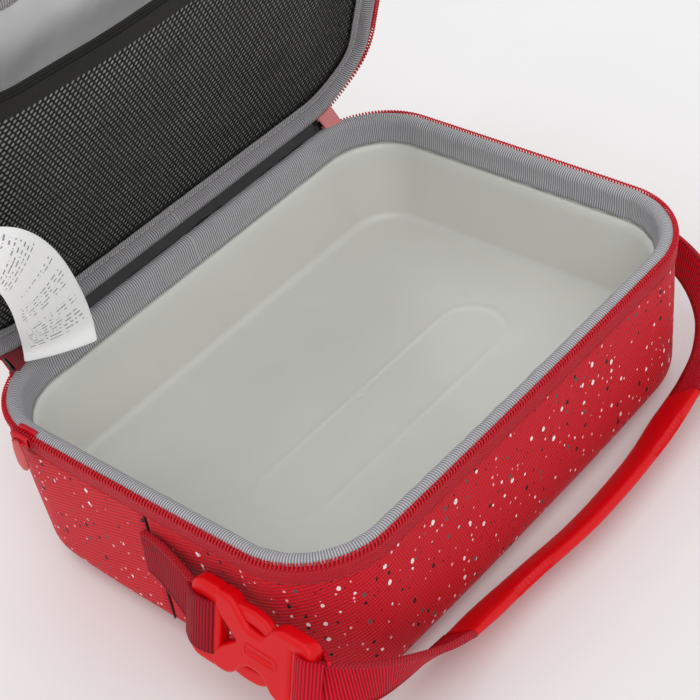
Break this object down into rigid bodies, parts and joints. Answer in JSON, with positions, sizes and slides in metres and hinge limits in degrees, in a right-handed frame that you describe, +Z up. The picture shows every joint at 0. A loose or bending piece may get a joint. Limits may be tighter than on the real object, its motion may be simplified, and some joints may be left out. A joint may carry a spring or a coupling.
{
  "type": "lunch box",
  "caption": "Soft insulated lunch box with a moulded liner, open zipped lid with mesh pocket, and a carrying strap with grip and side-release buckle.",
  "frame": {"origin": "centre of the tub's flat bottom, on the surface it stands on", "axes": "+X along the long side to the right seen from the front, +Y to the hinge at the back, +Z up"},
  "size_m": [0.3006, 0.2487, 0.2779],
  "materials": {
    "red_fabric": "woven polyester with a speckled print",
    "red_tape": "woven zip tape",
    "red_webbing": "ribbed webbing",
    "zip_red": "nylon coil",
    "red_plastic": "satin moulded",
    "grip_rubber": "soft moulded",
    "pull_rubber": "soft moulded",
    "pink_tab": "folded tape",
    "grey_binding": "ribbed grosgrain",
    "liner_grey": "moulded, satin gloss",
    "foam": "closed-cell foam",
    "foil": "soft foil-faced lining",
    "dark_lining": "smooth coated lining",
    "black_mesh": "knitted net",
    "black_elastic": "ribbed elastic",
    "white_satin": "woven satin"
  },
  "bodies": {
    "root": {"bottom_panel": "red_fabric", "front_gusset": "red_fabric", "rear_gusset": "red_fabric", "bottom_foam": "foam", "side_foam": "foam", "moulded_liner": "liner_grey", "rim_binding": "grey_binding", "lower_zip_tape": "red_tape", "lower_zip_coil": "zip_red", "zip_end_tab_left": "pink_tab", "zip_end_tab_right": "pink_tab", "hinge_fabric": "red_fabric", "hinge_lining": "dark_lining"},
    "lid": {"lid_panel": "red_fabric", "lid_gusset": "red_fabric", "lid_foam": "foam", "lid_lining": "foil", "mesh_pocket": "black_mesh", "pocket_elastic": "black_elastic", "lid_binding": "grey_binding", "upper_zip_tape": "red_tape", "upper_zip_coil": "zip_red", "care_label": "white_satin"},
    "strap": {"webbing_left": "red_webbing", "handle_grip": "grip_rubber", "webbing_right": "red_webbing", "buckle_female": "red_plastic"},
    "male": {"buckle_male": "red_plastic", "anchor_webbing": "red_webbing"},
    "prong_upper": {"prong_upper": "red_plastic"},
    "prong_lower": {"prong_lower": "red_plastic"},
    "slider": {"zip_slider": "zip_red"},
    "puller": {"zip_puller": "pull_rubber"}
  },
  "joints": [
    {"name": "lid_hinge", "type": "hinge", "parent": "root", "child": "lid", "pos_m": [0, 0.0994, 0.0843], "axis": [1, 0, 0], "range_deg": [-109, 69], "deforming": ["hinge_fabric", "hinge_lining", "care_label"]},
    {"name": "strap_swing", "type": "hinge", "parent": "root", "child": "strap", "pos_m": [0, -0.005, 0.055], "axis": [1, 0, 0], "range_deg": [-110, 0]},
    {"name": "buckle_release", "type": "slide", "parent": "strap", "child": "male", "axis": [0.0088, 0.9992, 0.0395], "range_m": [0, 0.02]},
    {"name": "prong_upper_squeeze", "type": "hinge", "parent": "male", "child": "prong_upper", "pos_m": [-0.13933, -0.05687, 0.05372], "axis": [0.9659, 0.0017, -0.2588], "range_deg": [0, 7], "stiffness_Nm_per_rad": 0.4},
    {"name": "prong_lower_squeeze", "type": "hinge", "parent": "male", "child": "prong_lower", "pos_m": [-0.1429, -0.05631, 0.0404], "axis": [-0.9659, -0.0017, 0.2588], "range_deg": [0, 7], "stiffness_Nm_per_rad": 0.4},
    {"name": "slider_travel", "type": "slide", "parent": "root", "child": "slider", "axis": [0, -1, 0], "range_m": [0, 0.122]},
    {"name": "puller_swing", "type": "hinge", "parent": "slider", "child": "puller", "pos_m": [-0.1358, 0.061, 0.082], "axis": [0, 1, 0], "range_deg": [0, 120]}
  ]
}
